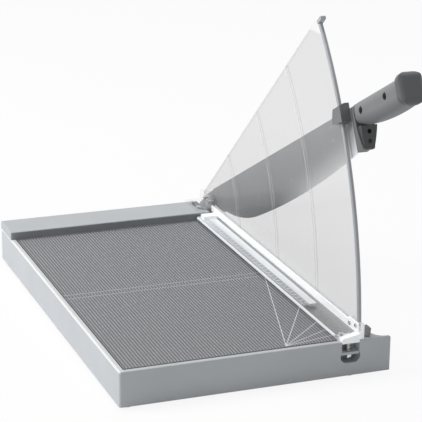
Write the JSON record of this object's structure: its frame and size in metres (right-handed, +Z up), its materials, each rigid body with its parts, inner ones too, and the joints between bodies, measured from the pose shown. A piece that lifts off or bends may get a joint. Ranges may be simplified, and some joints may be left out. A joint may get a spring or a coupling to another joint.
{
  "type": "paper trimmer",
  "caption": "Lever paper trimmer for large sheets: hollow base with a ribbed mat, bed blade, sprung clear paper clamp, fixed clear guard and a hinged knife arm with an oval grip.",
  "frame": {"origin": "centre of the underside of the front left foot, on the table", "axes": "+X to the right across the base, +Y to the rear along the cut, +Z up"},
  "size_m": [0.32, 0.6277, 0.3863],
  "materials": {
    "shell": "smooth light grey moulding",
    "dark_plate": "smooth dark moulding",
    "rubber": "matt black",
    "mat": "ribbed, matt grey",
    "stop": "smooth grey moulding",
    "strip": "smooth dark strip",
    "steel": "satin",
    "blade_steel": "ground",
    "screws": "zinc-plated",
    "black_screws": "blackened",
    "clear": "clear, polished",
    "trim": "smooth grey extrusion",
    "hazy": "clear with a white haze",
    "hinge": "grey paint",
    "brass": "turned",
    "casting": "cast, grey paint",
    "grip": "fine-grained grey",
    "dark": "matt charcoal",
    "spring": "drawn wire"
  },
  "bodies": {
    "base": {"base_housing": "shell", "bottom_plate": "dark_plate", "bottom_screws": "screws", "foot_front_left": "rubber", "foot_front_right": "rubber", "foot_rear_left": "rubber", "foot_rear_right": "rubber", "ribbed_mat": "mat", "paper_stop": "stop", "stop_strip": "strip", "paper_stop_screws": "screws", "bed_rail": "steel", "bed_rail_screws": "screws", "bed_blade": "blade_steel", "bed_blade_screws": "black_screws", "guard_sheet": "clear", "guard_rim": "trim", "guard_rail": "hazy", "guard_front_bracket": "hazy", "guard_rear_bracket": "hazy", "guard_front_screws": "screws", "guard_rear_screws": "screws", "guard_sheet_screws": "screws", "rim_stop": "trim", "hinge_bracket": "hinge", "hinge_bracket_screws": "screws", "pivot_bolt": "screws", "pivot_spring_washer": "spring", "pivot_nut": "screws", "arm_buffer": "rubber"},
    "clamp": {"clamp_bar": "clear", "clamp_front_cap": "hazy", "clamp_rear_cap": "hazy", "clamp_guide_pins": "screws", "clamp_nuts": "screws", "clamp_screws": "screws", "clamp_spring_front": "spring", "clamp_spring_rear": "spring"},
    "arm": {"arm_beam": "casting", "pivot_bush": "brass", "knife": "blade_steel", "knife_screws": "screws", "guide_clip": "dark", "clip_screws": "screws", "handle_bracket": "casting", "handle_bracket_screws": "screws", "grip_left": "grip", "grip_right": "grip", "grip_screws": "black_screws", "grip_end_cap": "dark", "finger_guard": "dark", "finger_guard_screws": "black_screws"}
  },
  "joints": [
    {"name": "arm_pivot", "type": "hinge", "parent": "base", "child": "arm", "pos_m": [0.283, 0.5202, 0.0302], "axis": [-1, 0, 0], "range_deg": [-22.12, 10.8]},
    {"name": "clamp_press", "type": "slide", "parent": "base", "child": "clamp", "axis": [0, 0, -1], "range_m": [0, 0.0029], "stiffness_N_per_m": 1500, "springref_m": -0.002, "deforming": ["clamp_spring_front", "clamp_spring_rear"]}
  ]
}
